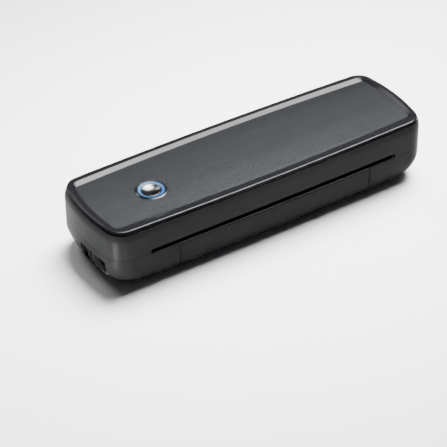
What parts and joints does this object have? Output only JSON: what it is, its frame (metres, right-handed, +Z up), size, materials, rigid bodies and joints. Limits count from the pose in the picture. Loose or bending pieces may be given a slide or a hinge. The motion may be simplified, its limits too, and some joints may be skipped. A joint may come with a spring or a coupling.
{
  "type": "portable thermal printer",
  "caption": "Long low portable printer with a front paper slot, hinged front cover, rear paper inlet, rounded underside, brushed top panel and round power button.",
  "frame": {"origin": "middle of the footprint on the plane the rubber feet stand on", "axes": "+X along the printer towards the gear end, +Y towards the back where paper enters, +Z up"},
  "size_m": [0.278, 0.084, 0.052],
  "materials": {
    "casing_black": "semi-gloss moulded black plastic",
    "bezel_black": "polished black plastic",
    "panel_brushed": "dark anodised, fine lengthwise brushing",
    "button_silver": "satin silver",
    "button_ring_chrome": "bright plated",
    "light_guide": "frosted blue-white light guide",
    "cover_black": "semi-gloss moulded black plastic",
    "guide_steel": "bright rolled sheet",
    "frame_steel": "zinc-plated pressed sheet",
    "shaft_steel": "ground",
    "roller_rubber": "ground matt rubber",
    "bush_brass": "sintered",
    "gear_nylon": "natural moulded nylon",
    "pinion_brass": "hobbed",
    "motor_steel": "plated can",
    "strip_ceramic": "glazed ceramic",
    "sink_aluminium": "extruded",
    "spring_steel": "rolled strip",
    "flex_polyimide": "amber polyimide film",
    "board_green": "solder mask",
    "chip_black": "moulded package",
    "capacitor_can": "plain can",
    "connector_cream": "moulded",
    "lamp_clear": "clear lens",
    "switch_black": "moulded",
    "knob_grey": "moulded",
    "shell_nickel": "nickel plated",
    "cell_wrap": "shrink sleeve",
    "cradle_plastic": "moulded",
    "strap_tape": "woven tape",
    "contact_nickel": "nickel strip",
    "foot_rubber": "moulded",
    "screw_steel": "black zinc",
    "pin_steel": "ground"
  },
  "bodies": {
    "chassis": {"lower_casing": "casing_black", "upper_casing": "casing_black", "top_bezel": "bezel_black", "top_panel": "panel_brushed", "button_bezel": "button_ring_chrome", "light_ring": "light_guide", "tact_switch": "switch_black", "button_board": "board_green", "button_lamps": "lamp_clear", "hinge_pins": "pin_steel", "lower_paper_guide": "guide_steel", "upper_paper_guide": "guide_steel", "paper_sensor": "chip_black", "side_frame_left": "frame_steel", "side_frame_right": "frame_steel", "cross_bar": "frame_steel", "platen_bushes": "bush_brass", "idler_axle": "shaft_steel", "stepper_motor": "motor_steel", "gear_guard": "frame_steel", "guard_posts": "shaft_steel", "head_pivot_pins": "pin_steel", "head_springs": "spring_steel", "head_flex_cable": "flex_polyimide", "main_board": "board_green", "board_chips": "chip_black", "board_capacitors": "capacitor_can", "board_connectors": "connector_cream", "battery_cells": "cell_wrap", "battery_cradle": "cradle_plastic", "battery_strap": "strap_tape", "battery_contacts": "contact_nickel", "input_board": "board_green", "power_jack": "switch_black", "jack_pin": "contact_nickel", "switch_body": "switch_black", "data_socket_shell": "shell_nickel", "data_socket_tongue": "switch_black", "rubber_feet": "foot_rubber", "casing_screws": "screw_steel", "frame_screws": "screw_steel", "motor_screws": "screw_steel", "board_screws": "screw_steel"},
    "cover": {"front_cover": "cover_black"},
    "button": {"power_button": "button_silver", "button_plunger": "knob_grey"},
    "platen": {"platen_shaft": "shaft_steel", "platen_rubber": "roller_rubber", "platen_gear": "gear_nylon"},
    "idler": {"idler_gear": "gear_nylon"},
    "motor_rotor": {"motor_pinion": "pinion_brass", "motor_shaft": "shaft_steel"},
    "head": {"print_head_strip": "strip_ceramic", "head_heat_sink": "sink_aluminium"},
    "switch_knob": {"switch_slider": "knob_grey"}
  },
  "joints": [
    {"name": "cover_hinge", "type": "hinge", "parent": "chassis", "child": "cover", "pos_m": [0, -0.03573, 0.0054], "axis": [1, 0, 0], "range_deg": [0, 60]},
    {"name": "button_press", "type": "slide", "parent": "chassis", "child": "button", "axis": [0, 0, -1], "range_m": [0, 0.0005], "stiffness_N_per_m": 2000, "springref_m": -0.0005},
    {"name": "platen_spin", "type": "hinge", "parent": "chassis", "child": "platen", "pos_m": [0, -0.022, 0.0224], "axis": [1, 0, 0], "continuous": true},
    {"name": "idler_spin", "type": "hinge", "parent": "chassis", "child": "idler", "pos_m": [0.113, -0.00696, 0.01693], "axis": [1, 0, 0], "continuous": true},
    {"name": "motor_spin", "type": "hinge", "parent": "chassis", "child": "motor_rotor", "pos_m": [0.113, 0.00888, 0.0147], "axis": [1, 0, 0], "continuous": true},
    {"name": "head_tilt", "type": "hinge", "parent": "chassis", "child": "head", "pos_m": [0, -0.0075, 0.0336], "axis": [1, 0, 0], "range_deg": [-3, 0], "stiffness_Nm_per_rad": 1, "springref_deg": 5.73, "deforming": ["head_springs"]},
    {"name": "switch_slide", "type": "slide", "parent": "chassis", "child": "switch_knob", "axis": [0, 0, 1], "range_m": [0, 0.0036]}
  ],
  "couplings": [
    {"joint": "idler_spin", "follows": "platen_spin", "ratio": -1.8571},
    {"joint": "motor_spin", "follows": "platen_spin", "ratio": 4.3333}
  ]
}
